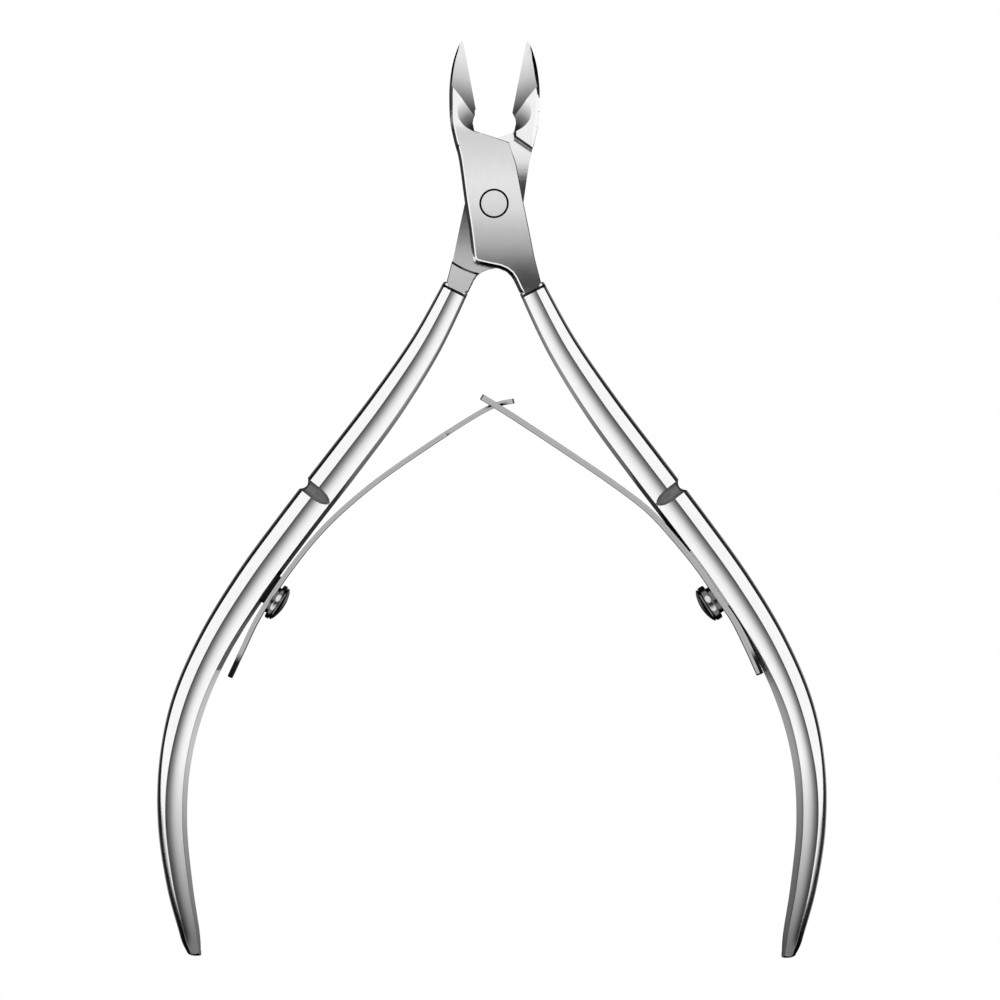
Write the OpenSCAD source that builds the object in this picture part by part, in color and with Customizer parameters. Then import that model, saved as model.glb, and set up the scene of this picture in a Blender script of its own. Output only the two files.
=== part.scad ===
// Cuticle nipper with a lap joint and two crossed leaf springs, lying flat and open. Millimetres.
// The jaws point along +Y, the handles along -Y, and the front of the nipper faces +Z.
// The origin is on the pivot axis, in the flush back face of the joint.
// The front arm runs from the left jaw over the joint to the right handle, and the back arm is its
// mirror image, except that its half of the lap joint is the lower one.

/* [Joint] */
// Thickness of the joint, which is also the thickness of the whole nipper
joint_t = 5.2; // [4.8:0.1:5.8]
// Radius of the pivot rivet
rivet_r = 1.7; // [1.3:0.1:2.1]
// Radial clearance of the rivet in the front arm, which turns on it
rivet_clearance = 0.03; // [0.01:0.01:0.1]
// Space between the two plates of the lap joint
lap_gap = 0.04; // [0.02:0.01:0.1]
// Distance from the pivot to the straight shoulder under each jaw
jaw_shoulder = 8.2; // [8.1:0.05:8.4]
// Radius about the pivot of the curved shoulder above each handle
shank_shoulder = 8.85; // [8.6:0.05:9.2]

/* [Jaws] */
// Angle from the middle of the nipper to each cutting edge, half of the full opening
edge_angle = 10.9; // [9.5:0.1:11.5]
// Height of the cutting edges above the back face
edge_z = 2.2; // [1.8:0.1:2.4]
// Radius of the hollow grind above each cutting edge
grind_r = 12; // [9:0.5:16]
// Radius of the scoop between each hollow grind and its plate
scoop_r = 6.5; // [5:0.1:8]

/* [Handles] */
// Radius of the groove round each handle
groove_r = 0.95; // [0.6:0.05:1.2]
// Depth of that groove
groove_depth = 0.5; // [0.2:0.05:0.6]
// Number of rings along each handle
handle_rings = 48; // [36:1:60]

/* [Springs] */
// Thickness of the leaf springs
strip_t = 0.6; // [0.4:0.05:0.7]
// Width of the leaf springs
strip_w = 3.8; // [3:0.1:4.2]
// Width of the left spring's tongue, which passes through the right spring's slot
tongue_w = 1.6; // [1.2:0.1:1.8]
// Length of the gap between the clamped part and the flexing part of each spring
flex_gap = 0.12; // [0.1:0.01:0.2]

/* [Spring screws] */
// Radius of the screw head
head_r = 2.35; // [2:0.05:2.5]
// Height of the straight part of the screw head
head_h = 0.85; // [0.6:0.05:1]
// Height of the head's domed top
dome_h = 0.6; // [0.3:0.05:0.8]
// Radius of the collar between the head and the spring
collar_r = 1.8; // [1.4:0.05:2]
// Height of that collar
collar_h = 0.3; // [0.2:0.05:0.5]
// Radius of the screw's shank
shank_r = 1; // [0.8:0.05:1.1]
// Length of the shank that is in the handle
shank_l = 3; // [2:0.1:3.2]

/* [Hidden] */
$fn = 96;
mid_z = joint_t / 2;
past = 1;               // how far a cutter runs past the surface that it cuts
edge_land = 0.03;       // distance of each cutting edge from its line through the pivot

// Outline of an arm with its jaw on the left. The outer side is a smooth curve from the tip down to
// the joint, and the rest is straight.
tip_y = 20.55;
heel_y = 11.6;
outer_side = [[-4.1, tip_y], [-4.65, 19.5], [-5.25, 17.5], [-5.6, 15], [-5.64, 12.5], [-5.5, 10.2],
    [-5.05, 8], [-4.41, 5.5], [-3.7, 0.5], [-3.13, -3.1], [-2.69, -6.66]];
plate_foot = [[-2.5, -7.2], [-2.1, -7.45], [-0.8, -7.75], [0.7, -8.05], [1.5, -8.38], [2.1, -8.85],
    [2.5, -9.45], [3.22, -10.95]];
plate_back = [[5.87, -9.75], [5.06, -6.66], [4.34, -3.08], [3.55, 0.66], [2.76, 4.83], [1.88, 7.62],
    [1.48, 7.76], [-2.48, 9.05], [-2.73, 10.2], [-2.62, 10.9]];
edge_line = [for (y = [heel_y, tip_y - 0.6]) [-y * tan(edge_angle) - edge_land, y]];

// The jaws seen from the side, as y and z: the front falls towards the tip and the back rises a little
jaw_front = [[11, joint_t], [13, 4.65], [15.5, 4.05], [17.7, 3.45], [19.5, 2.85], [tip_y, 2.45]];
jaw_rear = [[tip_y, 1.75], [17, 0.9], [13, 0.15], [11, 0]];

// Middle line of the right handle, from the joint to the end: x, y, width and depth
stations = [[4.7, -10.35, 3.35, 5.2], [8.45, -17.6, 3.9, 5.2], [13.35, -25.1, 4.44, 5.2],
    [18.95, -32.6, 4.63, 5.2], [24.7, -40.1, 4.63, 5.2], [30.15, -47.6, 4.6, 5.2],
    [34.75, -55.1, 4.42, 5.2], [38, -62.6, 4.3, 5.2], [39.65, -70.1, 3.92, 5.1],
    [39.9, -77.6, 3.62, 4.9], [39, -85.1, 3.2, 4.5], [37.75, -91, 2.5, 4], [37.35, -93.4, 2.1, 3.6]];
// Half of the handle's section as shares of its width and depth, from the outer side to the inner
section = [[0.5, 0.1], [0.45, 0.32], [0.1, 0.5], [-0.14, 0.47], [-0.34, 0.38], [-0.46, 0.22]];
groove_at = 3.5;        // station, counted from 0, where the groove is
root_share = 0.6;       // size of the hidden root that joins the handle to the arm
root_in = 1.4;          // how far that root reaches into the arm

// Middle line of the right spring, from its tip over the flex line and the screw to its tail
spring_line = [[-1.5, -24.05], [0, -24.95], [3.1, -26.9], [8.9, -30.7], [14.4, -34.4], [19.1, -38.2],
    [22.35, -41.9], [25.4, -45.8], [27.8, -49.3], [29.6, -52.3], [31.15, -55.6], [32.8, -59.2]];
// Places on that line, as numbers of its points
flex_at = 4.87;         // where the free blade begins
flex_half = flex_gap / 12;      // half of the gap there, in steps of about 6 mm
screw_at = 8;
tail_at = 11;
seat_from = 6.5;
seat_to = 8.4;
slot_from = 0.45;
slot_to = 1.95;
tongue_to = 2.45;
slot_w = tongue_w + 0.8;
seat_h = 0.35;          // how far the seat stands off the handle
seat_reach = 1.6;       // how far it runs from the middle of the spring into the handle
shank_end = strip_t / 2 + seat_h + shank_l;

function curve_part(a, b, c, d, u) =
    b + u * (c - a) / 2 + u * u * (a - 2.5 * b + 2 * c - d / 2) + u * u * u * (3 * (b - c) + d - a) / 2;
// Point t on the smooth curve through the points p, where t = 0 is the first and t = 1 the second
function curve(p, t) =
    let (i = max(0, min(floor(t), len(p) - 2)))
    curve_part(p[max(i - 1, 0)], p[i], p[i + 1], p[min(i + 2, len(p) - 1)], t - i);
function smooth(p, steps) = [for (k = [0:(len(p) - 1) * steps]) curve(p, k / steps)];
function flat(p) = [p[0], p[1]];
function unit(v) = v / norm(v);
// Direction of such a curve in the plane, and the direction to its left
function ahead(p, t) = let (c = max(0.02, min(t, len(p) - 1.02)))
    unit(flat(curve(p, c + 0.02)) - flat(curve(p, c - 0.02)));
function left_of(v) = [-v[1], v[0]];
// A line offset sideways from the spring's middle line, from t = a to t = b
function beside(a, b, d, steps) = [for (k = [0:steps]) let (t = a + (b - a) * k / steps)
    curve(spring_line, t) + d * left_of(ahead(spring_line, t))];
function strip_outline(a, b, steps) = concat(beside(a, b, strip_t / 2, steps),
    beside(b, a, -strip_t / 2, steps));

// The handle's rings: two hidden ones in the arm, one for each share along it, and a rounded end
function ring(x, y, dir, w, d) = let (out = left_of(dir)) concat(
    [for (s = section) [x + out[0] * s[0] * w, y + out[1] * s[0] * w, mid_z + s[1] * d]],
    [[x - out[0] * w / 2, y - out[1] * w / 2, mid_z]],
    [for (k = [len(section) - 1:-1:0]) let (s = section[k])
        [x + out[0] * s[0] * w, y + out[1] * s[0] * w, mid_z - s[1] * d]]);
function handle_ring(t, share = 1, shift = 0) = let (s = curve(stations, t), dir = ahead(stations, t))
    ring(s[0] + shift * dir[0], s[1] + shift * dir[1], dir, s[2] * share, min(s[3], joint_t) * share);

module handle() {
    last = len(stations) - 1;
    round_l = 0.5;           // length of the rounded end
    rings = concat([handle_ring(0, root_share, -root_in), handle_ring(0, root_share)],
        [for (k = [0:handle_rings]) handle_ring(k / handle_rings * last)],
        [for (a = [30, 55, 75]) handle_ring(last, cos(a), round_l * sin(a))]);
    n = len(rings[0]);
    m = len(rings);
    polyhedron(
        points = [for (r = rings) each r],
        faces = concat([[for (i = [0:n - 1]) i]],
            [for (j = [0:m - 2]) for (i = [0:n - 1])
                [j * n + i, (j + 1) * n + i, (j + 1) * n + (i + 1) % n, j * n + (i + 1) % n]],
            [[for (i = [n - 1:-1:0]) (m - 1) * n + i]]),
        convexity = 6);
}

// Places its children at share t of a line, with +X to the line's left, +Y ahead and the middle at z = 0
module at(line, t) {
    p = curve(line, t);
    dir = ahead(line, t);
    translate([p[0], p[1], mid_z]) rotate(atan2(dir[1], dir[0]) - 90) mirror([1, 0, 0]) children();
}

// The filed groove over the outer half of the handle: front slope, outer side and back slope
module groove() {
    s = curve(stations, groove_at);
    crest = [section[2][0] * s[2], section[2][1] * s[3]];
    edge = [section[1][0] * s[2], section[1][1] * s[3]];
    slope = atan2(crest[1] - edge[1], edge[0] - crest[0]);
    lift = groove_r - groove_depth;
    at(stations, groove_at) {
        for (up = [1, -1]) scale([1, 1, up]) translate([crest[0], 0, crest[1]]) rotate([0, slope, 0])
            translate([-1, 0, lift]) rotate([0, 90, 0]) cylinder(r = groove_r, h = 4);
        translate([s[2] / 2 + lift, 0, 0]) cylinder(r = groove_r, h = 4, center = true);
    }
}

// The raised flat that the spring is screwed down on
module spring_seat() {
    steps = 6;
    inside = [for (k = [steps:-1:0]) let (t = seat_from + (seat_to - seat_from) * k / steps)
        curve(spring_line, t) + seat_reach * left_of(ahead(spring_line, t))];
    translate([0, 0, mid_z - strip_w / 2]) linear_extrude(strip_w)
        polygon(concat(beside(seat_from, seat_to, strip_t / 2, steps), inside));
}

module arm_blank() {
    outline = concat(smooth(outer_side, 4), plate_foot, [[3.9, -11.2], [5.6, -10.4]], plate_back,
        edge_line);
    side = concat([[-12, joint_t]], jaw_front, jaw_rear, [[-12, 0]]);
    intersection() {
        linear_extrude(joint_t) polygon(outline);
        rotate([90, 0, 90]) linear_extrude(20, center = true) polygon(side);
    }
}

// Hollow grind of the left jaw, in the angle between its cutting edge and the sloping wall below it
module hollow_grind() {
    rise = [2.7, 1.9];          // from the cutting edge to the outer ridge, outwards and up
    wall_at = [-5.1, 13.2];     // where the wall below the grind meets the jaw's outer side
    wall_turn = 37;
    wall_lean = 8;
    wall_in = 3.4;
    chord = norm(rise);
    back_off = sqrt(grind_r * grind_r - chord * chord / 4);
    centre = rise / 2 + back_off * [-rise[1], rise[0]] / chord;
    intersection() {
        rotate(edge_angle) translate([-edge_land - centre[0], 0, edge_z + centre[1]])
            rotate([-90, 0, 0]) cylinder(r = grind_r, h = 30);
        translate(wall_at) rotate(wall_turn) translate([0, -wall_in, -past])
            rotate([0, wall_lean, 0]) cube([20, 20, 12]);
    }
}

module scoop() {
    rim_r = 3.85;               // radius of its rim in the front face
    centre = [-1.25, 12.6];
    lift = sqrt(scoop_r * scoop_r - rim_r * rim_r);
    translate([centre[0], centre[1], joint_t + lift]) sphere(r = scoop_r);
}

// Where the other arm's plate lies and turns
module lap_recess() {
    corner_x = -2.45;           // where the straight shoulder meets the side of the jaw
    slope = 34.8;
    corner_y = (jaw_shoulder - corner_x * -sin(slope)) / cos(slope);
    reach = 7;
    polygon([[corner_x, 12], [corner_x, corner_y], [-reach, corner_y - (corner_x + reach) * tan(slope)],
        [-reach, 0], [reach, 0], [reach, 12]]);
    intersection() {
        circle(r = shank_shoulder);
        translate([-reach * 2, -reach * 4]) square(reach * 4);
    }
}

// An arm with its jaw on the left and its handle on the right; plate_up says which half its plate is
module arm(plate_up, bore_r) {
    low = plate_up ? -past : mid_z - lap_gap / 2;
    high = plate_up ? mid_z + lap_gap / 2 : joint_t + past;
    difference() {
        union() {
            arm_blank();
            handle();
            spring_seat();
        }
        translate([0, 0, low]) linear_extrude(high - low) lap_recess();
        translate([0, 0, -past]) cylinder(r = bore_r, h = joint_t + 2 * past);
        hollow_grind();
        scoop();
        groove();
        at(spring_line, screw_at) rotate([0, 90, 0]) cylinder(r = shank_r, h = shank_end);
    }
}

module spring_foot() {
    difference() {
        translate([0, 0, mid_z - strip_w / 2]) linear_extrude(strip_w)
            polygon(strip_outline(flex_at + flex_half, tail_at, 36));
        at(spring_line, screw_at) rotate([0, 90, 0]) cylinder(r = shank_r, h = 4, center = true);
    }
}

// The flexing part up to the crossing point, with a slot there or drawn in to a tongue
module spring_blade(slotted) {
    difference() {
        translate([0, 0, mid_z - strip_w / 2]) linear_extrude(strip_w)
            polygon(strip_outline(0, flex_at - flex_half, 30));
        if (slotted) translate([0, 0, mid_z - slot_w / 2]) linear_extrude(slot_w)
            polygon(concat(beside(slot_from, slot_to, strip_t, 6), beside(slot_to, slot_from, -strip_t, 6)));
        else for (z = [-past, mid_z + tongue_w / 2]) translate([0, 0, z])
            linear_extrude(mid_z - tongue_w / 2 + past)
                polygon(concat(beside(-0.1, tongue_to, strip_t, 8), beside(tongue_to, -0.1, -strip_t, 8)));
    }
}

// Cheese head with a domed top on a narrower collar, over a shank that is in the handle
module spring_screw() {
    dome_r = (head_r * head_r + dome_h * dome_h) / (2 * dome_h);
    top = strip_t / 2 + collar_h + head_h;
    at(spring_line, screw_at) rotate([0, -90, 0]) {
        translate([0, 0, strip_t / 2]) cylinder(r = collar_r, h = collar_h);
        translate([0, 0, strip_t / 2 + collar_h]) cylinder(r = head_r, h = head_h);
        intersection() {
            translate([0, 0, top]) cylinder(r = head_r, h = dome_h + 0.1);
            translate([0, 0, top + dome_h - dome_r]) sphere(r = dome_r);
        }
        translate([0, 0, -shank_end]) cylinder(r = shank_r, h = shank_end + strip_t / 2);
    }
}

module back_arm() { color([0.72, 0.72, 0.73]) mirror([1, 0, 0]) arm(false, rivet_r); }
module front_arm() { color([0.82, 0.82, 0.83]) arm(true, rivet_r + rivet_clearance); }
module pivot_rivet() { color([0.88, 0.88, 0.88]) cylinder(r = rivet_r, h = joint_t); }
module left_spring_foot() { color([0.62, 0.62, 0.63]) mirror([1, 0, 0]) spring_foot(); }
module left_spring_blade() { color([0.62, 0.62, 0.63]) mirror([1, 0, 0]) spring_blade(false); }
module left_spring_screw() { color([0.45, 0.45, 0.46]) mirror([1, 0, 0]) spring_screw(); }
module right_spring_foot() { color([0.66, 0.66, 0.67]) spring_foot(); }
module right_spring_blade() { color([0.66, 0.66, 0.67]) spring_blade(true); }
module right_spring_screw() { color([0.45, 0.45, 0.46]) spring_screw(); }

back_arm();
front_arm();
pivot_rivet();
left_spring_foot();
left_spring_blade();
left_spring_screw();
right_spring_foot();
right_spring_blade();
right_spring_screw();
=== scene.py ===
"""Looks of the cuticle nipper: polished steel arms, flush rivet, crossed leaf springs and their screws.

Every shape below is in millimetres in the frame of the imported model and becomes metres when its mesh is
made. Arms are drawn with the jaw on the left and the handle on the right, which is the front arm; the
back arm is mirrored in X.
"""

import math

import bmesh
import bpy
import numpy as np
from mathutils import Matrix, Vector

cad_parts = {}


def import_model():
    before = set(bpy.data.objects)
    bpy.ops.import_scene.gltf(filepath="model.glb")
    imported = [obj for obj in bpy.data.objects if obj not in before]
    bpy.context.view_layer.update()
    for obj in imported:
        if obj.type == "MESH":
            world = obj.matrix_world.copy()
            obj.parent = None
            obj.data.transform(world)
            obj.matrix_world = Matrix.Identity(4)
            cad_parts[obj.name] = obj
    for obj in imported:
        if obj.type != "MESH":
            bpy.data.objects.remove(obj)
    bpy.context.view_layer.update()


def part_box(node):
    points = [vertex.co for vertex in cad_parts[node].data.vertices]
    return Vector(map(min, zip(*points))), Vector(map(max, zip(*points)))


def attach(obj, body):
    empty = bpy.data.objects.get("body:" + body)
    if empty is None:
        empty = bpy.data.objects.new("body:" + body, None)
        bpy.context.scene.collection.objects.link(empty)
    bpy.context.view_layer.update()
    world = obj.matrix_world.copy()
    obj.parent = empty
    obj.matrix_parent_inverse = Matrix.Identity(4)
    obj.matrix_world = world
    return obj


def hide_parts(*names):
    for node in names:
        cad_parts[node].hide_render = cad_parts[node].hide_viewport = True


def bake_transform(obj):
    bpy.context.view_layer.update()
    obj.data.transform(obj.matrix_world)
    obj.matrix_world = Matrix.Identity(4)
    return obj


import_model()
MM = 0.001
joint_low, joint_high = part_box("pivot_rivet")
JOINT_T = joint_high.z / MM
MID_Z = JOINT_T / 2
RIVET_R = (joint_high.x - joint_low.x) / 2 / MM

# ---------------------------------------------------------------- camera

VIEW_DISTANCE = 0.700
VIEW_SPAN = 0.125
SENSOR = 36.0

camera_data = bpy.data.cameras.new("camera")
camera_data.sensor_width = SENSOR
camera_data.lens = SENSOR * VIEW_DISTANCE / VIEW_SPAN
camera = bpy.data.objects.new("camera", camera_data)
bpy.context.scene.collection.objects.link(camera)
camera.location = (0.00087, -0.03694, MID_Z * MM + VIEW_DISTANCE)
camera.rotation_euler = (0, 0, math.radians(0.2))
bpy.context.scene.camera = camera
bpy.context.scene.view_settings.view_transform = "Standard"

# ---------------------------------------------------------------- curves


def curve(points, t):
    """Point t on the smooth curve through the points, where t = 0 is the first and t = 1 the second."""
    points = np.asarray(points, float)
    i = int(max(0, min(math.floor(t), len(points) - 2)))
    a, b, c, d = (points[max(0, min(k, len(points) - 1))] for k in (i - 1, i, i + 1, i + 2))
    u = t - i
    return b + u * (c - a) / 2 + u * u * (a - 2.5 * b + 2 * c - d / 2) + u**3 * (3 * (b - c) + d - a) / 2


def smooth(points, steps):
    return [curve(points, k / steps) for k in range((len(points) - 1) * steps + 1)]


def ahead(points, t):
    c = max(0.02, min(t, len(points) - 1.02))
    step = (curve(points, c + 0.02) - curve(points, c - 0.02))[:2]
    return step / np.linalg.norm(step)


def left_of(v):
    return np.array([-v[1], v[0]])


def ease(low, high, x):
    """0 below low, 1 above high and smooth between them; it falls instead if high is below low."""
    u = np.clip((x - low) / (high - low), 0, 1)
    return u * u * (3 - 2 * u)


# ---------------------------------------------------------------- mesh helpers


def make_object(name, points, faces):
    mesh = bpy.data.meshes.new(name)
    mesh.from_pydata([tuple(float(c) * MM for c in p) for p in points], [], faces)
    obj = bpy.data.objects.new(name, mesh)
    bpy.context.scene.collection.objects.link(obj)
    bm = bmesh.new()
    bm.from_mesh(mesh)
    bmesh.ops.remove_doubles(bm, verts=bm.verts, dist=1e-8)
    bmesh.ops.recalc_face_normals(bm, faces=bm.faces)
    bm.to_mesh(mesh)
    bm.free()
    return obj


def loft(name, rings):
    """A closed solid through rings of the same number of points, with flat ends."""
    n = len(rings[0])
    faces = [tuple(range(n)), tuple((len(rings) - 1) * n + k for k in range(n))]
    for j in range(len(rings) - 1):
        for k in range(n):
            m = (k + 1) % n
            faces.append((j * n + k, j * n + m, (j + 1) * n + m, (j + 1) * n + k))
    return make_object(name, [p for ring in rings for p in ring], faces)


def prism(name, outline, low, high):
    return loft(name, [[(x, y, z) for x, y in outline] for z in (low, high)])


def revolve(name, profile, segments=160):
    """A solid from (radius, height) points about Z; a point on the axis closes it."""
    rings = []
    for r, z in profile:
        angles = [2 * math.pi * k / segments for k in range(segments)]
        rings.append([(max(r, 1e-3) * math.cos(a), max(r, 1e-3) * math.sin(a), z) for a in angles])
    return loft(name, rings)


def boolean(obj, other, operation):
    """Adds the other mesh to obj or cuts it away, and deletes the other."""
    modifier = obj.modifiers.new("boolean", "BOOLEAN")
    modifier.operation = operation
    modifier.solver = "MANIFOLD"
    modifier.object = other
    bpy.context.view_layer.update()
    result = bpy.data.meshes.new_from_object(obj.evaluated_get(bpy.context.evaluated_depsgraph_get()))
    obj.modifiers.clear()
    obj.data = result
    bpy.data.objects.remove(other)


def mirror_x(obj):
    obj.data.transform(Matrix.Diagonal((-1, 1, 1, 1)))
    obj.data.flip_normals()


def place(obj, line, t):
    """Turns a mesh made about Z so that Z points to the line's right, and puts it on the line at t."""
    out = -left_of(ahead(line, t))
    spot = curve(line, t)
    along = Vector((-out[1], out[0], 0))
    z = Vector((out[0], out[1], 0))
    x = along.cross(z)
    rows = [[x[k], along[k], z[k], (spot[0], spot[1], MID_Z)[k] * MM] for k in range(3)]
    obj.data.transform(Matrix([*rows, [0, 0, 0, 1]]))


def finish_mesh(obj, sharp_degrees=20):
    """Drops slivers, shades smoothly and keeps the edges that are sharper than the angle."""
    bm = bmesh.new()
    bm.from_mesh(obj.data)
    bmesh.ops.remove_doubles(bm, verts=bm.verts, dist=2e-7)
    bmesh.ops.dissolve_degenerate(bm, dist=2e-7, edges=bm.edges)
    bmesh.ops.recalc_face_normals(bm, faces=bm.faces)
    for face in bm.faces:
        face.smooth = True
    bm.to_mesh(obj.data)
    bm.free()
    obj.data.set_sharp_from_angle(angle=math.radians(sharp_degrees))
    weighted = obj.modifiers.new("weighted normals", "WEIGHTED_NORMAL")
    weighted.keep_sharp = True


# ---------------------------------------------------------------- the arms

# Middle line of the right handle: x, y, width and depth
STATIONS = [
    (4.7, -10.35, 3.35, 5.2), (8.45, -17.6, 3.9, 5.2), (13.35, -25.1, 4.44, 5.2),
    (18.95, -32.6, 4.63, 5.2), (24.7, -40.1, 4.63, 5.2), (30.15, -47.6, 4.6, 5.2),
    (34.75, -55.1, 4.42, 5.2), (38, -62.6, 4.3, 5.2), (39.65, -70.1, 3.92, 5.1),
    (39.9, -77.6, 3.62, 4.9), (39, -85.1, 3.2, 4.5), (37.75, -91, 2.5, 4), (37.35, -93.4, 2.1, 3.6),
]
LAST = len(STATIONS) - 1
GROOVE_AT, GROOVE_R, GROOVE_DEPTH = 3.5, 0.95, 0.5
GROOVE_HALF = math.sqrt(GROOVE_R**2 - (GROOVE_R - GROOVE_DEPTH) ** 2)
# The handle's end: where it starts to close, by how much, and how far it shifts to the inner side
END_FROM, END_CLOSING, END_SHIFT = 11.1, 0.2, 0.45
# Share of the handle's width that its inner flank takes up, on the back arm and the front arm
FLANK_SHARE = (0.14, 0.2)
# Middle line of the right spring, from its tip over the screw to its tail
SPRING = [
    (-1.5, -24.05), (0, -24.95), (3.1, -26.9), (8.9, -30.7), (14.4, -34.4), (19.1, -38.2),
    (22.35, -41.9), (25.4, -45.8), (27.8, -49.3), (29.6, -52.3), (31.15, -55.6), (32.8, -59.2),
]
# The strips depart a little from it: the left one's tongue is bent nearly straight across, in the
# mirrored line, and the right one lies nearer to its handle and is thicker at the tail
LEFT_SPRING = [(-2.6, -24.55), (-0.1, -25.15), *SPRING[2:4], (14.3, -34.5), (18.93, -38.38), *SPRING[6:]]
RIGHT_SPRING = [
    *SPRING[:5], (19.25, -38.04), (22.64, -41.63), (25.79, -45.49), (28.2, -49.03), (30.22, -51.97),
    (31.9, -55.2), (33.45, -58.6),
]
SPRINGS = LEFT_SPRING, RIGHT_SPRING
RIGHT_THICKER, TAIL_THICKER, TAIL_FROM, TAIL_TO = 1.2, 0.2, 8.7, 9.8
STRIP_T, STRIP_W = 0.6, 3.8
TONGUE_HALF, TONGUE_TO = 0.8, 2.45
SLOT_HALF, SLOT_FROM, SLOT_TO = 1.2, 0.45, 1.95
SCREW_AT, SCREW_END, SHANK_R = 8, -3.65, 1.0
# Start, end and half height of the seat under the spring, on the back arm and the front arm
SEATS = ((7.3, 8.2, 1.2), (6.5, 8.4, 1.6))
SEAT_REACH = 1.6
EDGE_ANGLE, EDGE_Z, EDGE_LAND = math.radians(10.9), 2.2, 0.03
TIP_Y, HEEL_Y = 20.55, 11.6
HEEL, PLATE_CORNER = (-2.3, 11.5), (-2.4, 9.1)
JAW_SHOULDER, SHANK_SHOULDER = 8.2, 8.85
SHOULDER_SIN, SHOULDER_COS = math.sin(math.radians(34.8)), math.cos(math.radians(34.8))


def crest_share(t):
    """How far outside the middle the handle's crest runs, as a share of its width."""
    return 0.1 + 0.11 * ease(7, 9, t)


def section(w, d, t, flank_share):
    """The handle's section at station t, as distances across and up from its middle."""
    flank = ease(5.3, 7.2, t)
    outer = [
        (0.5, 0.0), (0.5, 0.1), (0.494, 0.19), (0.476, 0.26), (0.448, 0.315), (0.415, 0.355), (0.39, 0.38),
    ]
    taper = ease(10.3, 12, t)
    for k, (a, b) in enumerate([(0.03, 0.015), (0.07, 0.04), (0.11, 0.085)], 4):
        outer[k] = (outer[k][0] - a * taper, outer[k][1] + b * taper)
    points = [(a * w, b * d) for a, b in outer]
    crest = (crest_share(t) * w, 0.5 * d)
    for u in (0.25, 0.5, 0.75, 0.93):
        x = points[6][0] + (crest[0] - points[6][0]) * u
        z = points[6][1] + (crest[1] - points[6][1]) * u
        points.append((x, z + 0.05 * u * (1 - u)))
    points.append(crest)
    turn_at = -(0.385 - (flank_share - 0.1) * flank) * w
    x, z, steps = crest[0], crest[1], 14
    for k in range(steps):
        tilt = math.radians(7 + 22 * (k + 0.5) / steps)
        step = (crest[0] - turn_at) / steps
        x, z = x - step, z - step * math.tan(tilt)
        points.append((x, z))
    corner = 0.02 * w
    points.append((x - 0.6 * corner, z - 0.55 * corner))
    points.append((x - corner, z - 1.6 * corner))
    # The inner flank runs a little below the middle where it is wide
    (x, z), sag = points[-1], 15 * max(flank_share - 0.13, 0) * flank
    inner = [(x + (-0.5 * w - x) * u, z + (-sag - z) * u) for u in (0.33, 0.66, 1.0)]
    return points + inner + [(a, -b) for a, b in reversed(points[1:])]


def groove_reach(across, w):
    """Half length of the filed groove at a distance across the handle: it narrows to a round nose."""
    nose = np.sqrt(np.clip(1 - ((0.05 * w - across) / (0.42 * w)) ** 2, 0, 1))
    return np.where(across > 0.05 * w, 1, nose) * GROOVE_HALF


def handle_ring(t, front, share=1.0, shift=0.0, from_groove=9.0):
    """A ring of the handle; from_groove is its distance from the middle of the filed groove."""
    x, y, w, d = curve(STATIONS, t)
    loop = np.array(section(w, min(d, JOINT_T), t, FLANK_SHARE[front]))
    reach = np.maximum(groove_reach(loop[:, 0], w), 1e-3)
    bowl = GROOVE_DEPTH * np.clip(1 - (from_groove / reach) ** 2, 0, 1)
    depth = bowl * np.minimum(reach / reach.max(), 1) ** 0.5
    if depth.any():
        step = np.roll(loop, -1, 0) - np.roll(loop, 1, 0)
        inward = np.stack([step[:, 1], -step[:, 0]], 1) / np.linalg.norm(step, axis=1)[:, None]
        inward *= -np.sign((inward * loop).sum(1))[:, None]
        loop = loop + inward * depth[:, None]
    direction = ahead(STATIONS, t)
    out = left_of(direction)
    inner = -END_SHIFT * w * (1 - share) if t > END_FROM else 0
    spot = np.array([x, y]) + shift * direction + inner * out
    return [(*(spot + out * a * share), MID_Z + b * share) for a, b in loop]


def handle(front):
    fine = np.linspace(0, LAST, 1201)
    where = np.array([curve(STATIONS, t)[:2] for t in fine])
    length = np.concatenate([[0], np.cumsum(np.linalg.norm(np.diff(where, axis=0), axis=1))])
    groove_s = np.interp(GROOVE_AT, fine, length)
    inside = [GROOVE_HALF * math.sin(a) for a in np.linspace(-math.pi / 2, math.pi / 2, 25)]
    spots = [s for s in np.arange(1.16, length[-1], 0.5) if abs(s - groove_s) > GROOVE_HALF + 0.2]
    spots += [0.16, 0.4, 0.75, groove_s - GROOVE_HALF - 0.02, groove_s + GROOVE_HALF + 0.02]
    spots += [groove_s + s for s in inside]
    rings = [handle_ring(0, front, 0.6, -1.4), handle_ring(0, front, 0.6), handle_ring(0, front, 0.88)]
    for s in sorted([*spots, length[-1]]):
        t = np.interp(s, length, fine)
        share = 1 - END_CLOSING * ease(END_FROM, LAST + 0.3, t)
        rings.append(handle_ring(t, front, share, from_groove=abs(s - groove_s)))
    for a in np.radians([15, 30, 45, 58, 70, 80]):
        rings.append(handle_ring(LAST, front, share * math.cos(a), 0.75 * math.sin(a)))
    return loft("handle", rings)


def spring_seat(front):
    line, (start, end, half) = SPRINGS[front], SEATS[front]
    spots = np.linspace(start, end, 25)
    near = [curve(line, t) + STRIP_T / 2 * left_of(ahead(line, t)) for t in spots]
    far = [curve(line, t) + SEAT_REACH * left_of(ahead(line, t)) for t in reversed(spots)]
    return prism("seat", near + far, MID_Z - half, MID_Z + half)


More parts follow.
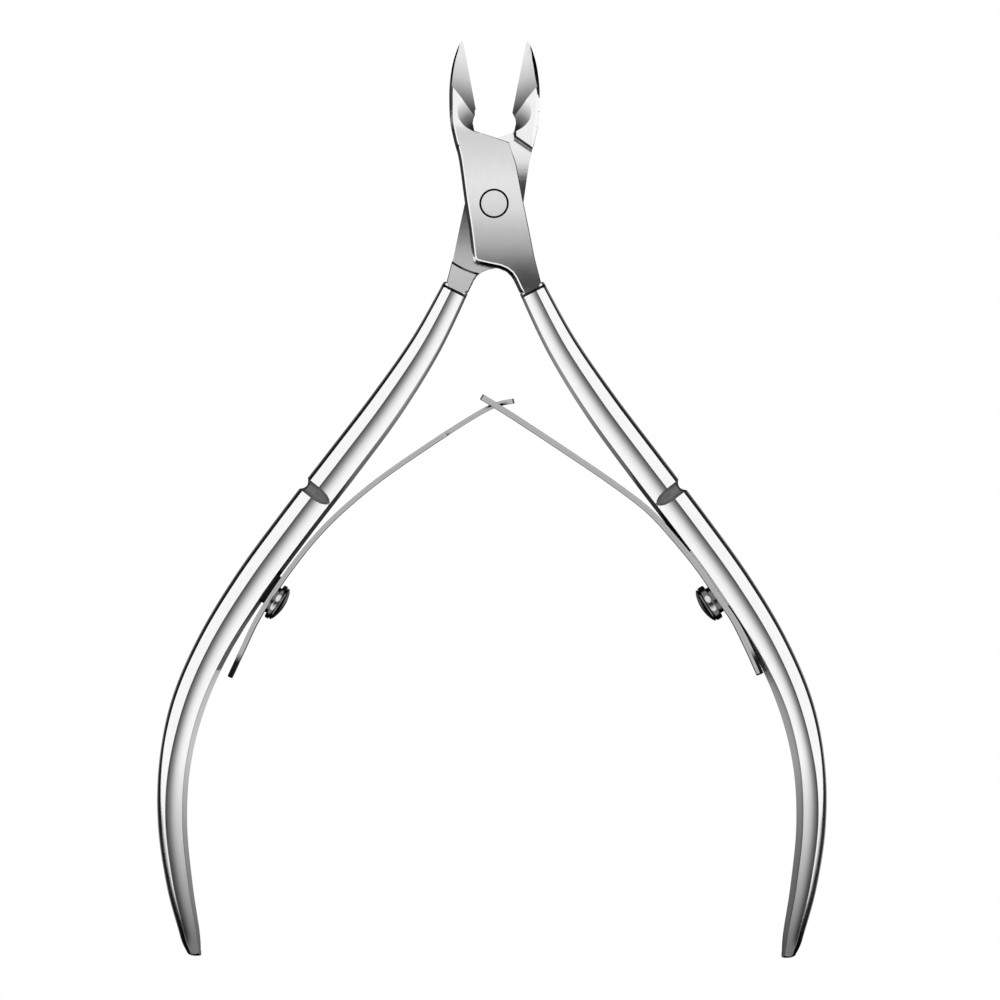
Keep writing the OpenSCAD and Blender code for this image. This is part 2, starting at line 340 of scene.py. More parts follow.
# Outline of the joint and the jaw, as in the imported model, with the edge form of each stretch
OUTER_SIDE = [
    (-4.1, TIP_Y), (-4.65, 19.5), (-5.25, 17.5), (-5.6, 15), (-5.64, 12.5), (-5.5, 10.2),
    (-5.05, 8), (-4.41, 5.5), (-3.7, 0.5), (-3.13, -3.1), (-2.69, -6.66),
]
PLATE_FOOT = [
    (-2.5, -7.2), (-2.1, -7.45), (-0.8, -7.75), (0.7, -8.05), (1.5, -8.38), (2.1, -8.85),
    (2.5, -9.45), (3.22, -10.95),
]
SHANK_END = [(3.9, -11.2), (5.6, -10.4)]
PLATE_BACK = [
    (5.87, -9.75), (5.06, -6.66), (4.34, -3.08), (3.55, 0.66), (2.76, 4.83), (1.88, 7.62),
    (1.48, 7.76), (-2.48, 9.05), (-2.73, 10.2), (-2.62, 10.9),
]
# Each form of rim is (inset, drop) from the front face down to the side wall
FINE_RIM = np.array([(0.012, 0.0), (0.006, 0.006), (0.0, 0.012)])
THIN_RIM = np.array([(0.1, 0.0), (0.06, 0.04), (0.0, 0.16)])
BRIGHT_RIM = np.array([(0.52, 0.0), (0.36, 0.09), (0.0, 0.95)])
SOFT_RIM = np.array([(0.5, 0.0), (0.26, 0.14), (0.0, 0.34)])
LEFT_JAW_RIM = np.array([(0.45, 0.0), (0.42, 0.04), (0.0, 1.9)])
RIGHT_JAW_RIM = np.array([(0.7, 0.0), (0.67, 0.04), (0.0, 2.5)])


def arm_outline(front):
    """The outline's points, each with its form of rim."""
    found = []
    for x, y in smooth(OUTER_SIDE, 8):
        if front:
            form = BRIGHT_RIM + (LEFT_JAW_RIM - BRIGHT_RIM) * ease(9, 13, y)
        else:
            form = SOFT_RIM + (RIGHT_JAW_RIM - SOFT_RIM) * ease(13, 16.5, y)
            form = form * (0.35 + 0.65 * ease(7.5, 9, y))
        jaw_width = -x - max(y, 0) * math.tan(EDGE_ANGLE)
        found.append((x, y, form * np.clip(0.45 * jaw_width / form[0, 0], 0.05, 1)))
    for x, y in PLATE_FOOT:
        found.append((x, y, BRIGHT_RIM if front else THIN_RIM))
    for x, y in SHANK_END:
        found.append((x, y, FINE_RIM))
    for x, y in PLATE_BACK:
        found.append((x, y, THIN_RIM if y < 9 else FINE_RIM))
    for y in np.linspace(HEEL_Y, TIP_Y - 0.6, 10):
        found.append((-y * math.tan(EDGE_ANGLE) - EDGE_LAND, y, FINE_RIM))
    return found


def inward_normals(points):
    """For each point of a closed outline, the direction and length of a step that insets it by 1."""
    p = np.array([q[:2] for q in points])
    before, after = p - np.roll(p, 1, 0), np.roll(p, -1, 0) - p
    before /= np.linalg.norm(before, axis=1)[:, None]
    after /= np.linalg.norm(after, axis=1)[:, None]
    n = np.stack([-(before[:, 1] + after[:, 1]), before[:, 0] + after[:, 0]], 1)
    n /= np.linalg.norm(n, axis=1)[:, None]
    cosine = (n * np.stack([-after[:, 1], after[:, 0]], 1)).sum(1)
    area = 0.5 * (p[:, 0] * np.roll(p[:, 1], -1) - p[:, 1] * np.roll(p[:, 0], -1)).sum()
    return n / np.clip(cosine, 0.5, 1)[:, None] * (1 if area > 0 else -1)


JAW_FRONT = [
    (9, JOINT_T), (10, JOINT_T - 0.02), (11, JOINT_T - 0.14), (13, 4.65), (15.5, 4.05), (17.7, 3.45),
    (19.5, 2.85), (TIP_Y, 2.45),
]
JAW_REAR = [(9, 0), (11, 0), (13, 0.15), (17, 0.9), (TIP_Y, 1.75)]


def height_at(profile, y):
    return np.interp(y, *zip(*[(q[0], q[1]) for q in smooth(profile, 8)]))


def slice_mesh(obj, low, high, step):
    """Cuts the mesh across at every step in Y, so that it can be bent and shaded smoothly."""
    bm = bmesh.new()
    bm.from_mesh(obj.data)
    for y in np.arange(low, high, step):
        everything = bm.verts[:] + bm.edges[:] + bm.faces[:]
        bmesh.ops.bisect_plane(bm, geom=everything, plane_co=(0, y * MM, 0), plane_no=(0, 1, 0), dist=1e-8)
    bmesh.ops.triangulate(bm, faces=bm.faces)
    bm.to_mesh(obj.data)
    bm.free()


def arm_blank(front):
    outline = arm_outline(front)
    normal = inward_normals(outline)
    rings = []
    for top, row in [(False, k) for k in range(3)] + [(True, k) for k in (2, 1, 0)]:
        ring = []
        for (x, y, form), n in zip(outline, normal):
            inset, drop = form[row]
            ring.append((x + n[0] * inset, y + n[1] * inset, JOINT_T - drop if top else drop))
        rings.append(ring)
    blank = loft("blank", rings)
    slice_mesh(blank, 9.2, TIP_Y, 0.2)
    for v in blank.data.vertices:
        low, high = height_at(JAW_REAR, v.co.y / MM), height_at(JAW_FRONT, v.co.y / MM)
        v.co.z = (low + v.co.z / MM * (high - low) / JOINT_T) * MM
    return blank


# Lean of the polished faces towards the jaws at each y, in radians. It is chosen for the soft gradients
# that it gives their reflections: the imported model's faces are flat
FRONT_LEAN = [
    (-10, -0.055), (-7.5, -0.032), (-6.3, -0.02), (-5, -0.011), (-2.5, 0), (0, 0.018),
    (3, 0.025), (6, 0.008), (9, -0.003), (9.5, 0),
]
BACK_LEAN = [(-10, 0), (6.5, 0.02), (8.5, 0.06), (11, 0.06)]
FLOOR_LEAN = [
    (-9, 0), (-6, -0.01), (-1, -0.05), (0.3, -0.13), (2, -0.08), (4, -0.02), (6, 0.03), (8, 0.05),
]
# Heights between which a front face is bent, and those of the recess's floor
FACE_BAND = 2.8, 4.1, 6
LAP_GAP = 0.02
FLOOR_BAND = MID_Z - LAP_GAP - 0.01, MID_Z - LAP_GAP - 0.005, MID_Z - LAP_GAP + 0.005


def bend(obj, lean, low, high, top):
    """Gives the face at a height that lean at each y, by moving it up or down.

    It moves all of what lies between high and top, and less and less of what lies under that, down to low.
    """
    grid = np.linspace(-11, 12, 470)
    slope = np.interp(grid, *zip(*lean))
    rise = -np.concatenate([[0], np.cumsum((slope[1:] + slope[:-1]) / 2 * np.diff(grid))])
    rise -= rise.max()
    for v in obj.data.vertices:
        if low < v.co.z / MM < top:
            share = min((v.co.z / MM - low) / (high - low), 1)
            v.co.z += share * np.interp(v.co.y / MM, grid, rise) * MM


def cylinder(name, r, start, end, segments=360):
    """A cylinder between two points."""
    start, end = Vector(start), Vector(end)
    z = (end - start).normalized()
    x = z.orthogonal().normalized()
    y = z.cross(x)
    rings = []
    for spot in (start, end):
        angles = [2 * math.pi * k / segments for k in range(segments)]
        rings.append([tuple(spot + r * (math.cos(a) * x + math.sin(a) * y)) for a in angles])
    return loft(name, rings)


GRIND_R, GRIND_RISE = 12.0, np.array([2.7, 1.9])
GRIND_CHORD = np.linalg.norm(GRIND_RISE)
GRIND_CENTRE = (
    np.array([-EDGE_LAND, EDGE_Z])
    + np.array([-1, 1]) * GRIND_RISE / 2
    + math.sqrt(GRIND_R**2 - GRIND_CHORD**2 / 4) * GRIND_RISE[::-1] / GRIND_CHORD
)
WALL_AT, WALL_TURN = (-5.1, 13.2), math.radians(37)
SCOOP_R, SCOOP_RIM = 6.5, 3.85
SCOOP_AT = (-1.25, 12.6, JOINT_T + math.sqrt(SCOOP_R**2 - SCOOP_RIM**2))


def hollow_grind():
    """The grinding wheel's path: a cylinder along the cutting edge, ended by a sloping wall."""
    x, z = GRIND_CENTRE
    c, s = math.cos(EDGE_ANGLE), math.sin(EDGE_ANGLE)
    wheel = cylinder("wheel", GRIND_R, (x * c, x * s, z), (x * c - 30 * s, x * s + 30 * c, z), 1200)
    keep = prism("keep", [(0, 0), (20, 0), (20, 20), (0, 20)], 0, 12)
    keep.data.transform(
        Matrix.Translation(Vector((*WALL_AT, 0)) * MM)
        @ Matrix.Rotation(WALL_TURN, 4, "Z")
        @ Matrix.Translation(Vector((0, -3.4, -1)) * MM)
        @ Matrix.Rotation(math.radians(8), 4, "Y")
    )
    boolean(wheel, keep, "INTERSECT")
    return wheel


def scoop():
    angles = np.linspace(-math.pi / 2, math.pi / 2, 129)
    ball = revolve("scoop", [(SCOOP_R * math.cos(a), SCOOP_R * math.sin(a)) for a in angles], 256)
    ball.data.transform(Matrix.Translation(Vector(SCOOP_AT) * MM))
    return ball


def lap_outline(grow):
    corner_x, reach, shank_r = -2.45 - grow, 7, SHANK_SHOULDER + grow
    corner_y = (JAW_SHOULDER + grow + corner_x * SHOULDER_SIN) / SHOULDER_COS
    outline = [(reach, 12), (corner_x, 12), (corner_x, corner_y)]
    outline += [(-reach, corner_y - (corner_x + reach) * SHOULDER_SIN / SHOULDER_COS), (-reach, 0)]
    outline += [(shank_r * math.cos(a), shank_r * math.sin(a)) for a in np.linspace(math.pi, 2 * math.pi, 181)]
    return [*outline, (reach, 0)]


def lap_recess(plate_up):
    """Where the other arm's plate lies; its shoulders are chamfered at the outer face."""
    chamfer = 0.3
    levels = [
        (MID_Z - LAP_GAP, 0), (JOINT_T - 2 * chamfer, 0), (JOINT_T, chamfer), (JOINT_T + 1, chamfer + 0.5),
    ]
    if plate_up:
        levels = [(JOINT_T - z, grow) for z, grow in reversed(levels)]
    return loft("recess", [[(x, y, z) for x, y in lap_outline(grow)] for z, grow in levels])


# The thin groove around the rivet's ends: the width and depth of its chamfers, the brightness of its
# painted shade, and the heights that the painted shade lies between
RING_WIDE, RING_DEEP, RING_PAINTED_SHADE = 0.11, 0.28, 0.15
RING_LOW, RING_HIGH = JOINT_T - 0.4, JOINT_T - 0.02


def bore(r):
    """The rivet's hole, with a small steep chamfer at each end."""
    wide = r + 2 * RING_WIDE
    profile = [(1e-3, -RING_DEEP), (wide, -RING_DEEP), (r, RING_DEEP)]
    profile += [(r, JOINT_T - RING_DEEP), (wide, JOINT_T + RING_DEEP), (1e-3, JOINT_T + RING_DEEP)]
    return revolve("bore", profile, 256)


def paint(obj, level_at):
    """Stores a painted brightness at each corner, painted shade below 1 and painted light above it, and in
    alpha how polished it is.
    """
    mesh = obj.data
    shade = mesh.color_attributes.new("shade", "FLOAT_COLOR", "CORNER")
    for face in mesh.polygons:
        for loop in face.loop_indices:
            corner = np.array(mesh.vertices[mesh.loops[loop].vertex_index].co) / MM
            level, polish = level_at(np.array(face.center) / MM, corner)
            shade.data[loop].color = (level, level, level, polish)


# Painted shade: how bright the steel is painted by the distance from the heel, from the plate's corner and
# along the handle
GROUND_PAINTED_SHADE = [(0, 0.03), (0.6, 0.08), (1.65, 0.26), (3.3, 0.62), (5.5, 0.86), (8, 0.9)]
SCOOP_PAINTED_SHADE = [(0, 0.01), (0.8, 0.03), (2, 0.22), (3.4, 0.7), (4.4, 1.05)]
END_PAINTED_SHADE = [(69, 1), (76, 0.72), (82, 0.52), (88, 0.32), (92, 0.2)]
END_OUTER_PAINTED_SHADE = [(88.5, 1), (91.5, 0.3)]
# Painted shade on the jaw's outer rim: its brightness at each y, and the rim's width, on the back arm and the
# front arm
RIM_PAINTED_SHADE = ([(14.2, 1), (16.5, 0.04)], [(10.5, 1), (12, 0.04)])
RIM_INS = (0.68, 0.43)
# Painted brightness and polish of the seat, on the back arm and the front arm: painted shade on the back arm,
# painted light on the front arm
SEAT_PAINTED_SHADE_AND_LIGHT = ((0.04, 1), (1.8, 0.5))
# Polish of the right handle's inner flank under the screw, against -y
FLANK_POLISH = [(52, 1), (54, 0.2), (58, 0.2), (61, 1)]


def arm_painted_light_and_shade(front):
    """Painted shade and painted light on the jaw, the joint and the handle, and how polished the steel is
    there.
    """
    axis = np.array([-math.sin(EDGE_ANGLE), math.cos(EDGE_ANGLE)])
    side = np.array([axis[1], -axis[0]])
    groove_spot = curve(STATIONS, GROOVE_AT)
    groove_ahead = ahead(STATIONS, GROOVE_AT)
    groove_out = left_of(groove_ahead)
    start_ahead = ahead(STATIONS, 0)
    down = [-q[1] for q in STATIONS]
    line, (start, end, half) = SPRINGS[front], SEATS[front]
    seat_line = [curve(line, t) for t in np.linspace(start, end, 12)]
    flank_line = []
    for t in np.linspace(5, 8, 40):
        x, y, w, _ = curve(STATIONS, t)
        flank_line.append(np.array([x, y]) - w / 2 * left_of(ahead(STATIONS, t)))
    top = smooth(JAW_FRONT, 8)

    def level_at(centre, corner):
        x, y = corner[:2]
        if y > 8:
            off_axis = math.hypot(centre[:2] @ side - GRIND_CENTRE[0], centre[2] - GRIND_CENTRE[1])
            # Painted shade on the ground facet: darker towards the heel and the wall
            if abs(off_axis - GRIND_R) < 0.02:
                away = (x - WALL_AT[0]) * math.cos(WALL_TURN) + (y - WALL_AT[1]) * math.sin(WALL_TURN)
                from_heel = math.dist((x, y), HEEL)
                return np.interp((away - 0.6 + from_heel) / 2, *zip(*GROUND_PAINTED_SHADE)), 1
            # Painted shade in the scoop: darker towards the plate's corner
            if abs(np.linalg.norm(centre - SCOOP_AT) - SCOOP_R) < 0.02:
                return np.interp(math.dist((x, y), PLATE_CORNER), *zip(*SCOOP_PAINTED_SHADE)), 1
            # Painted shade on the jaw's outer rim, darker towards the tip
            outer_x = np.interp(-centre[1], *zip(*[(-q[1], q[0]) for q in OUTER_SIDE]))
            top_z = np.interp(centre[1], *zip(*top))
            if centre[0] - outer_x < RIM_INS[front] and centre[2] < top_z - 0.03:
                return np.interp(y, *zip(*RIM_PAINTED_SHADE[front])), 1
        # Painted shade: a black line on the chamfers of the shoulders
        on_shoulder = 0.01 < centre[1] * SHOULDER_COS - centre[0] * SHOULDER_SIN - JAW_SHOULDER < 0.29
        on_shoulder = on_shoulder if y > 0 else 0.01 < math.hypot(*centre[:2]) - SHANK_SHOULDER < 0.29
        if on_shoulder and MID_Z + 1 < centre[2] < JOINT_T - 0.05:
            return 0.02, 1
        # Painted shade in the groove around the rivet
        if 0 < math.hypot(*centre[:2]) - RIVET_R < 0.15 and RING_LOW < centre[2] < RING_HIGH:
            return RING_PAINTED_SHADE, 1
        # Painted shade: a black line where the handle starts
        from_start = (centre[:2] - STATIONS[0][:2]) @ start_ahead
        if 0.41 < from_start < 0.74 and -12 < y < -9:
            return 0.02, 1
        # Painted shade: darker towards the handle's end
        if y < -68:
            middle_x, width = (np.interp(-y, down, [q[k] for q in STATIONS]) for k in (0, 2))
            if centre[0] < middle_x + 0.2 * width:
                return np.interp(-y, *zip(*END_PAINTED_SHADE)), 1
            return np.interp(-y, *zip(*END_OUTER_PAINTED_SHADE)), 1
        # The filed groove is matte, and its dark colour is painted shade
        off = centre[:2] - groove_spot[:2]
        along, across = abs(off @ groove_ahead), off @ groove_out
        if along < 2 and along < groove_reach(across, groove_spot[2]):
            return 0.2, 0
        # The seat under the spring: painted shade on the back arm, painted light on the front arm
        if -53 < y < -42 and abs(centre[2] - MID_Z) < half + 0.01:
            if min(np.linalg.norm(centre[:2] - p) for p in seat_line) < 0.95:
                return SEAT_PAINTED_SHADE_AND_LIGHT[front]
        if front and -68 < y < -50 and min(np.linalg.norm(centre[:2] - p) for p in flank_line) < 0.75:
            return 1, np.interp(-y, *zip(*FLANK_POLISH))
        return 1, 1

    return level_at


def build_arm(front):
    arm = arm_blank(front)
    boolean(arm, handle(front), "UNION")
    boolean(arm, spring_seat(front), "UNION")
    boolean(arm, lap_recess(front), "DIFFERENCE")
    boolean(arm, bore(RIVET_R + 0.03 if front else RIVET_R), "DIFFERENCE")
    boolean(arm, hollow_grind(), "DIFFERENCE")
    boolean(arm, scoop(), "DIFFERENCE")
    slice_mesh(arm, -10.5, 19, 0.5)
    paint(arm, arm_painted_light_and_shade(front))
    if front:
        bend(arm, FRONT_LEAN, *FACE_BAND)
    else:
        bend(arm, BACK_LEAN, *FACE_BAND)
        bend(arm, FLOOR_LEAN, *FLOOR_BAND)
    return arm


# ---------------------------------------------------------------- springs, screws and rivet


def strip(slotted):
    """A leaf spring with rounded edges from its tip to its tail, with a slot or a tongue at the crossing."""
    full = STRIP_W / 2
    line = SPRINGS[slotted]
    last = len(line) - 1
    # Millimetres to a step of t at the two ends, and the radius of their rounded corners
    tip_step, tail_step, tip_r, tail_r = 1.75, 4, 0.8, 0.9
    near_tip, near_tail = 0.14, last - 0.16
    spots = [np.linspace(0, near_tip, 9), np.linspace(near_tip, near_tail, 150)]
    spots.append(np.linspace(near_tail, last, 9))
    rings = []
    for t in np.unique(np.concatenate(spots)):
        half = full
        if not slotted:
            half = TONGUE_HALF + (full - TONGUE_HALF) * float(ease(TONGUE_TO - 0.1, TONGUE_TO + 0.12, t))
        for away, r in ((t * tip_step, min(tip_r, half)), ((last - t) * tail_step, tail_r)):
            if away < r:
                half -= r - math.sqrt(max(r * r - (r - away) ** 2, 0))
        half = max(half, 0.12)
        thicker = RIGHT_THICKER + TAIL_THICKER * ease(TAIL_FROM, TAIL_TO, t)
        thick = STRIP_T / 2 * (thicker if slotted else 1)
        drop = 0.42 * (thick - 0.03)
        quarter = [(thick, half - drop - 0.06), (thick - 0.03, half - drop), (0.01, half)]
        loop = quarter + [(-a, b) for a, b in reversed(quarter)]
        loop += [(-a, -b) for a, b in quarter] + [(a, -b) for a, b in reversed(quarter)]
        side = left_of(ahead(line, t))
        spot = curve(line, t)
        rings.append([(*(spot + side * a), MID_Z + b) for a, b in loop])
    blade = loft("strip", rings)
    if slotted:
        spots = np.linspace(SLOT_FROM, SLOT_TO, 30)
        outline = [curve(line, t) + left_of(ahead(line, t)) for t in spots]
        outline += [curve(line, t) - left_of(ahead(line, t)) for t in reversed(spots)]
        boolean(blade, prism("slot", outline, MID_Z - SLOT_HALF, MID_Z + SLOT_HALF), "DIFFERENCE")
    hole = revolve("hole", [(1e-3, -2), (SHANK_R, -2), (SHANK_R, 2), (1e-3, 2)], 96)
    place(hole, line, SCREW_AT)
    boolean(blade, hole, "DIFFERENCE")
    tail = curve(line, last)
    # Painted shade: the top faces darken towards the tail's end, on the slotted strip only on one side of its
    # middle line
    tail_painted_shade = [(0, 0.02), (2.3, 0.03), (3.4, 1)]
    fine = np.linspace(0, last, 160)
    spots, sides = np.array([curve(line, t) for t in fine]), [left_of(ahead(line, t)) for t in fine]

    def level_at(centre, corner):
        off = centre[:2] - spots
        k = np.argmin((off**2).sum(1))
        inner = off[k] @ sides[k] < 0
        if centre[2] < MID_Z + full - 0.4 or (slotted and inner):
            return 1, 1
        return np.interp(np.linalg.norm(corner[:2] - tail), *zip(*tail_painted_shade)), 1

    paint(blade, level_at)
    return blade


def spring_screw(sunk):
    """The screw with its head on the strip; sunk is how much nearer to the handle the strip lies."""
    r, rim, dome = 2.35, 0.85 + 0.6 * sunk, 0.6
    collar_r, collar_h = 1.8, 0.3 + 0.4 * sunk
    low = STRIP_T / 2 - sunk
    head = low + collar_h
    top = head + rim
    sphere = (r * r + dome * dome) / (2 * dome)
    profile = [(1e-3, SCREW_END), (SHANK_R, SCREW_END), (SHANK_R, low)]
    profile += [(collar_r, low), (collar_r, head - 0.03)]
    # The rim and the thinner ring on it, each with rounded edges
    for start, end, big, fillet in ((head, top - 0.25, r, 0.2), (top - 0.21, top + 0.06, r - 0.1, 0.13)):
        for a in np.linspace(0, math.pi / 2, 7):
            profile.append((big - fillet * (1 - math.sin(a)), start + fillet * (1 - math.cos(a))))
        profile += [(big, z) for z in np.linspace(start + fillet, end - fillet, 8)[1:-1]]
        for a in np.linspace(0, math.pi / 2, 7):
            profile.append((big - fillet * (1 - math.cos(a)), end - fillet * (1 - math.sin(a))))
    edge = math.asin((r - 0.4) / sphere)
    for a in np.linspace(edge, 0, 24):
        profile.append((max(sphere * math.sin(a), 1e-3), top + dome - sphere * (1 - math.cos(a))))
    screw = revolve("screw", profile, 128)
    slot_w, slot_deep = 0.64, 0.75
    outline = [(a * slot_w / 2, b) for a, b in ((-1, -3), (1, -3), (1, 3), (-1, 3))]
    recess = prism("recess", outline, top + dome - slot_deep, top + dome + 1)
    boolean(screw, recess, "DIFFERENCE")
    middle = (head + top) / 2 - 0.1

    def level_at(centre, corner):
        """Painted dark shade, with two painted highlights on the rim's front and back."""
        spot = 1 - ((abs(corner[1]) - 0.62) / 0.5) ** 2 - ((corner[2] - middle) / 0.36) ** 2
        on_rim = abs(corner[0]) > 1 and corner[2] < top
        return 0.4 + (1.5 * ease(-0.1, 0.4, spot) if on_rim else 0), 1

    paint(screw, level_at)
    place(screw, SPRING, SCREW_AT)
    return screw


def rivet():
    r, wide = RIVET_R, RIVET_R - RING_WIDE
    profile = [(1e-3, 0), (wide, 0), (r, RING_DEEP), (r, JOINT_T - RING_DEEP), (wide, JOINT_T), (1e-3, JOINT_T)]
    pin = revolve("rivet", profile, 192)
    slice_mesh(pin, -1.6, 1.6, 0.2)
    # Painted shade in the groove around the rivet's ends
    paint(pin, lambda centre, corner: (RING_PAINTED_SHADE if RING_LOW < centre[2] < RING_HIGH else 1, 1))
    bend(pin, FRONT_LEAN, *FACE_BAND)
    return pin


# ---------------------------------------------------------------- materials

# Depth of the ground marks, in metres
MARK_DEPTH = 2e-7


def steel(name, colour, roughness, grain):
    """Polished steel: very fine ground marks in the gloss and in the surface, and the painted brightness of
    painted shade and painted highlights.
    """
    material = bpy.data.materials.new(name)
    material.use_nodes = True
    nodes, links = material.node_tree.nodes, material.node_tree.links
    shader = nodes["Principled BSDF"]
    shader.inputs["Metallic"].default_value = 1
    where = nodes.new("ShaderNodeTexCoord")
    stretch = nodes.new("ShaderNodeMapping")
    stretch.inputs["Scale"].default_value = grain
    links.new(where.outputs["Object"], stretch.inputs["Vector"])
    marks = nodes.new("ShaderNodeTexNoise")
    marks.inputs["Scale"].default_value = 1
    marks.inputs["Detail"].default_value = 4
    links.new(stretch.outputs["Vector"], marks.inputs["Vector"])
    cloud = nodes.new("ShaderNodeTexNoise")
    cloud.inputs["Scale"].default_value = 260
    cloud.inputs["Detail"].default_value = 3
    links.new(where.outputs["Object"], cloud.inputs["Vector"])
    gloss = nodes.new("ShaderNodeMapRange")
    gloss.inputs["To Min"].default_value = roughness * 0.75
    gloss.inputs["To Max"].default_value = roughness * 1.3
    links.new(cloud.outputs["Fac"], gloss.inputs["Value"])
    tint = nodes.new("ShaderNodeMapRange")
    tint.data_type = "FLOAT_VECTOR"
    tint.inputs[9].default_value = [c * 0.96 for c in colour]
    tint.inputs[10].default_value = [min(c * 1.03, 1) for c in colour]
    links.new(marks.outputs["Fac"], tint.inputs[6])
    # The painted shade and painted light stored on the mesh multiply the colour
    shade = nodes.new("ShaderNodeVertexColor")
    shade.layer_name = "shade"
    mix = nodes.new("ShaderNodeMix")
    mix.data_type = "RGBA"
    mix.blend_type = "MULTIPLY"
    mix.inputs["Factor"].default_value = 1
    links.new(tint.outputs["Vector"], mix.inputs[6])
    links.new(shade.outputs["Color"], mix.inputs[7])
    links.new(mix.outputs[2], shader.inputs["Base Color"])
    matte = nodes.new("ShaderNodeMapRange")
    matte.inputs["To Min"].default_value = 0.5
    matte.inputs["To Max"].default_value = 0
    links.new(shade.outputs["Alpha"], matte.inputs["Value"])
    rough = nodes.new("ShaderNodeMath")
    rough.operation = "MAXIMUM"
    links.new(gloss.outputs["Result"], rough.inputs[0])
    links.new(matte.outputs["Result"], rough.inputs[1])
    links.new(rough.outputs["Value"], shader.inputs["Roughness"])
    bump = nodes.new("ShaderNodeBump")
    bump.inputs["Strength"].default_value = 1
    bump.inputs["Distance"].default_value = MARK_DEPTH
    links.new(marks.outputs["Fac"], bump.inputs["Height"])
    links.new(bump.outputs["Normal"], shader.inputs["Normal"])
    return material


polished = steel("polished_steel", (0.92, 0.92, 0.925), 0.13, (2500, 500, 2500))
satin = steel("satin_steel", (0.9, 0.9, 0.905), 0.16, (1800, 1800, 1800))
# The spring and screw steels are painted darker than the polished steel: a painted shade
spring = steel("spring_steel", (0.44, 0.44, 0.445), 0.16, (900, 900, 4000))
painted_dark_screw_steel = steel("screw_steel", (0.38, 0.38, 0.385), 0.15, (2000, 2000, 2000))


def dress(obj, name, material, nodes, body=None):
    finish_mesh(obj)
    obj.name = name
    obj.data.name = name
    obj.data.materials.clear()
    obj.data.materials.append(material)
    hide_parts(*nodes)
    if body:
        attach(obj, body)


front = build_arm(True)
dress(front, "front_arm_steel", polished, ["front_arm"], "front_arm")
back = build_arm(False)
mirror_x(back)
dress(back, "back_arm_steel", polished, ["back_arm"], "back_arm")
pin = rivet()
dress(pin, "rivet_steel", satin, ["pivot_rivet"], "back_arm")
for side, arm, slotted in (("right", "front_arm", True), ("left", "back_arm", False)):
    screw = spring_screw(0.45 if slotted else 0)
    leaf = strip(slotted)
    flex_from, flex_to = (0.0215, -0.0408, 0), (0.0155, -0.0352, 0)
    if side == "left":
        mirror_x(screw)
        mirror_x(leaf)
        flex_from, flex_to = ((-p[0], p[1], p[2]) for p in (flex_from, flex_to))
    dress(screw, side + "_screw_steel", painted_dark_screw_steel, [side + "_spring_screw"], arm)
    dress(leaf, side + "_spring_steel", spring, [side + "_spring_foot", side + "_spring_blade"])
    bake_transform(leaf)

# ---------------------------------------------------------------- floor, world and light


# Brightness against the sine of the angle from straight up
LEAN_STOPS = [(0.0, 0.03), (0.25, 0.06), (0.42, 0.42), (0.56, 0.95), (0.7, 1.25), (1.0, 1.3)]
# Brightness of the ceiling against y, from the handles' side to the jaws' side
AHEAD_STOPS = [
    (-1.0, 0.0), (-0.1, 0.02), (-0.04, 0.06), (0.0, 0.28), (0.04, 0.72), (0.08, 1.05), (0.16, 1.2),
    (1.0, 1.2),
]
# Share of both that is above the horizon
HORIZON_STOPS = [(-1.0, 0.0), (0.0, 0.0), (0.06, 1.0), (1.0, 1.0)]
# Brightness of the table against height below the horizon, and its share from side to side
TABLE_STOPS = [(-1.0, 0.32), (-0.8, 0.28), (-0.71, 0.02), (0.0, 0.0), (1.0, 0.0)]
TABLE_SIDE_STOPS = [(-1.0, 1.2), (-0.46, 1.2), (-0.38, 0.3), (0.38, 0.3), (0.47, 1.9), (1.0, 2.5)]
TABLE_AHEAD_STOPS = [(-1.0, 0.1), (-0.4, 0.2), (-0.27, 1.35), (-0.15, 1.35), (0.0, 1.0), (1.0, 1.0)]
# The brightest that a ramp of the world can be
BRIGHTEST = 4


def floor():
    size, under = 2.0, 0.0004
    points = [(-size, -size), (size, -size), (size, size), (-size, size)]
    mesh = bpy.data.meshes.new("floor")
    mesh.from_pydata([(x, y, -under) for x, y in points], [], [(0, 1, 2, 3)])
    obj = bpy.data.objects.new("floor", mesh)
    bpy.context.scene.collection.objects.link(obj)
    material = bpy.data.materials.new("floor")
    material.use_nodes = True
    nodes, links = material.node_tree.nodes, material.node_tree.links
    nodes.clear()
    out = nodes.new("ShaderNodeOutputMaterial")
    seen = nodes.new("ShaderNodeEmission")
    seen.inputs["Color"].default_value = (1, 1, 1, 1)
    links.new(seen.outputs["Emission"], out.inputs["Surface"])
    obj.visible_glossy = False
    mesh.materials.append(material)


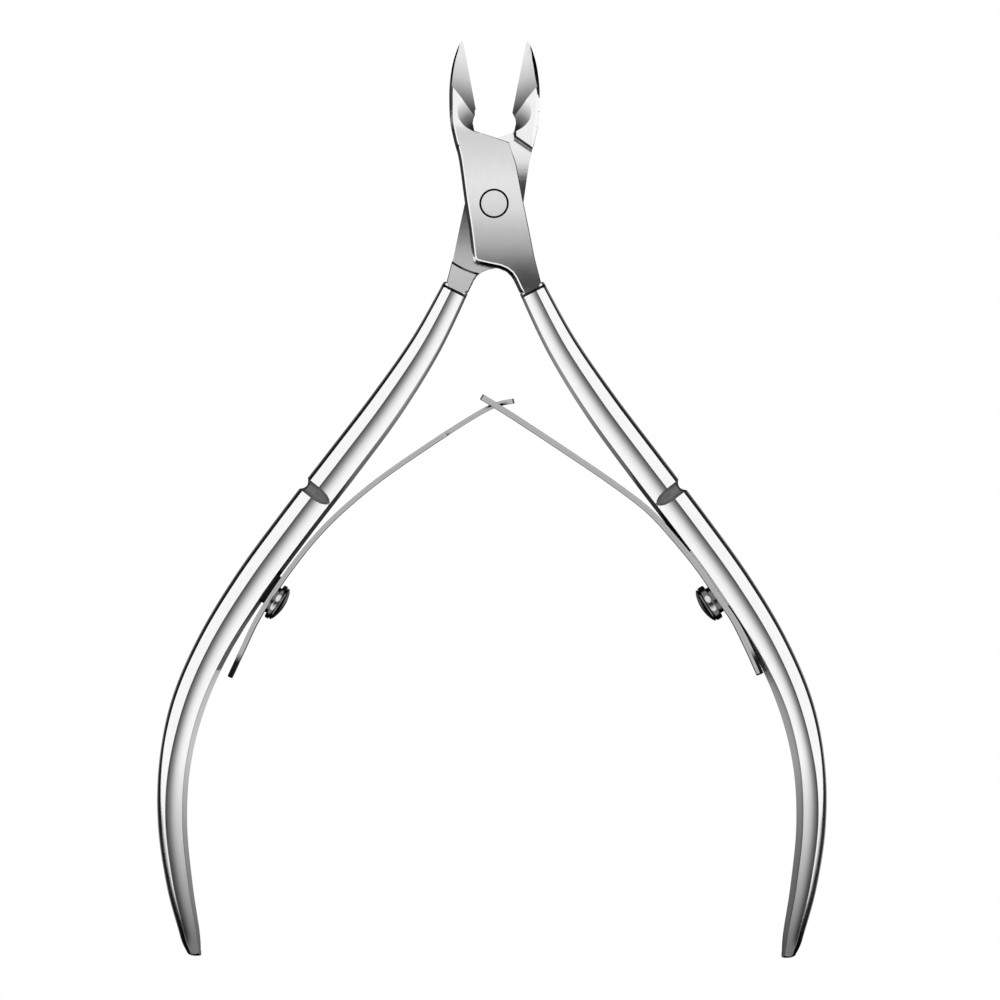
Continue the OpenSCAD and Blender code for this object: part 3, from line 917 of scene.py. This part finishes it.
def world():
    """White to the camera; in the reflections, a studio with a dark ceiling and bright walls."""
    made = bpy.data.worlds.new("studio")
    bpy.context.scene.world = made
    made.use_nodes = True
    nodes, links = made.node_tree.nodes, made.node_tree.links
    nodes.clear()
    out = nodes.new("ShaderNodeOutputWorld")
    seen = nodes.new("ShaderNodeBackground")
    seen.inputs["Color"].default_value = (1, 1, 1, 1)
    room = nodes.new("ShaderNodeBackground")
    mix = nodes.new("ShaderNodeMixShader")
    path = nodes.new("ShaderNodeLightPath")
    where = nodes.new("ShaderNodeTexCoord")
    split = nodes.new("ShaderNodeSeparateXYZ")
    links.new(where.outputs["Generated"], split.inputs["Vector"])

    def math_node(kind, a, b=0.0):
        node = nodes.new("ShaderNodeMath")
        node.operation = kind
        for socket, value in zip(node.inputs, (a, b)):
            if isinstance(value, (int, float)):
                socket.default_value = value
            else:
                links.new(value, socket)
        return node.outputs["Value"]

    def ramp(value, stops):
        """A brightness from straight pieces between (value, brightness) stops."""
        low, high = stops[0][0], stops[-1][0]
        spread = nodes.new("ShaderNodeMapRange")
        spread.inputs["From Min"].default_value = low
        spread.inputs["From Max"].default_value = high
        links.new(value, spread.inputs["Value"])
        node = nodes.new("ShaderNodeValToRGB")
        while len(node.color_ramp.elements) < len(stops):
            node.color_ramp.elements.new(0.5)
        for element, (at, level) in zip(node.color_ramp.elements, stops):
            element.position = (at - low) / (high - low)
            element.color = (level / BRIGHTEST, level / BRIGHTEST, level / BRIGHTEST, 1)
        links.new(spread.outputs["Result"], node.inputs["Fac"])
        return math_node("MULTIPLY", node.outputs["Color"], BRIGHTEST)

    x, y, z = split.outputs
    lean = math_node("SQRT", math_node("ADD", math_node("MULTIPLY", x, x), math_node("MULTIPLY", y, y)))
    ceiling = math_node("MAXIMUM", ramp(y, AHEAD_STOPS), ramp(lean, LEAN_STOPS))
    table = math_node("MULTIPLY", ramp(z, TABLE_STOPS), ramp(x, TABLE_SIDE_STOPS))
    table = math_node("MULTIPLY", table, ramp(y, TABLE_AHEAD_STOPS))
    above = ramp(z, HORIZON_STOPS)
    level = math_node("ADD", math_node("MULTIPLY", ceiling, above), table)
    links.new(level, room.inputs["Strength"])
    links.new(path.outputs["Is Camera Ray"], mix.inputs["Fac"])
    links.new(room.outputs["Background"], mix.inputs[1])
    links.new(seen.outputs["Background"], mix.inputs[2])
    links.new(mix.outputs["Shader"], out.inputs["Surface"])


floor()
world()
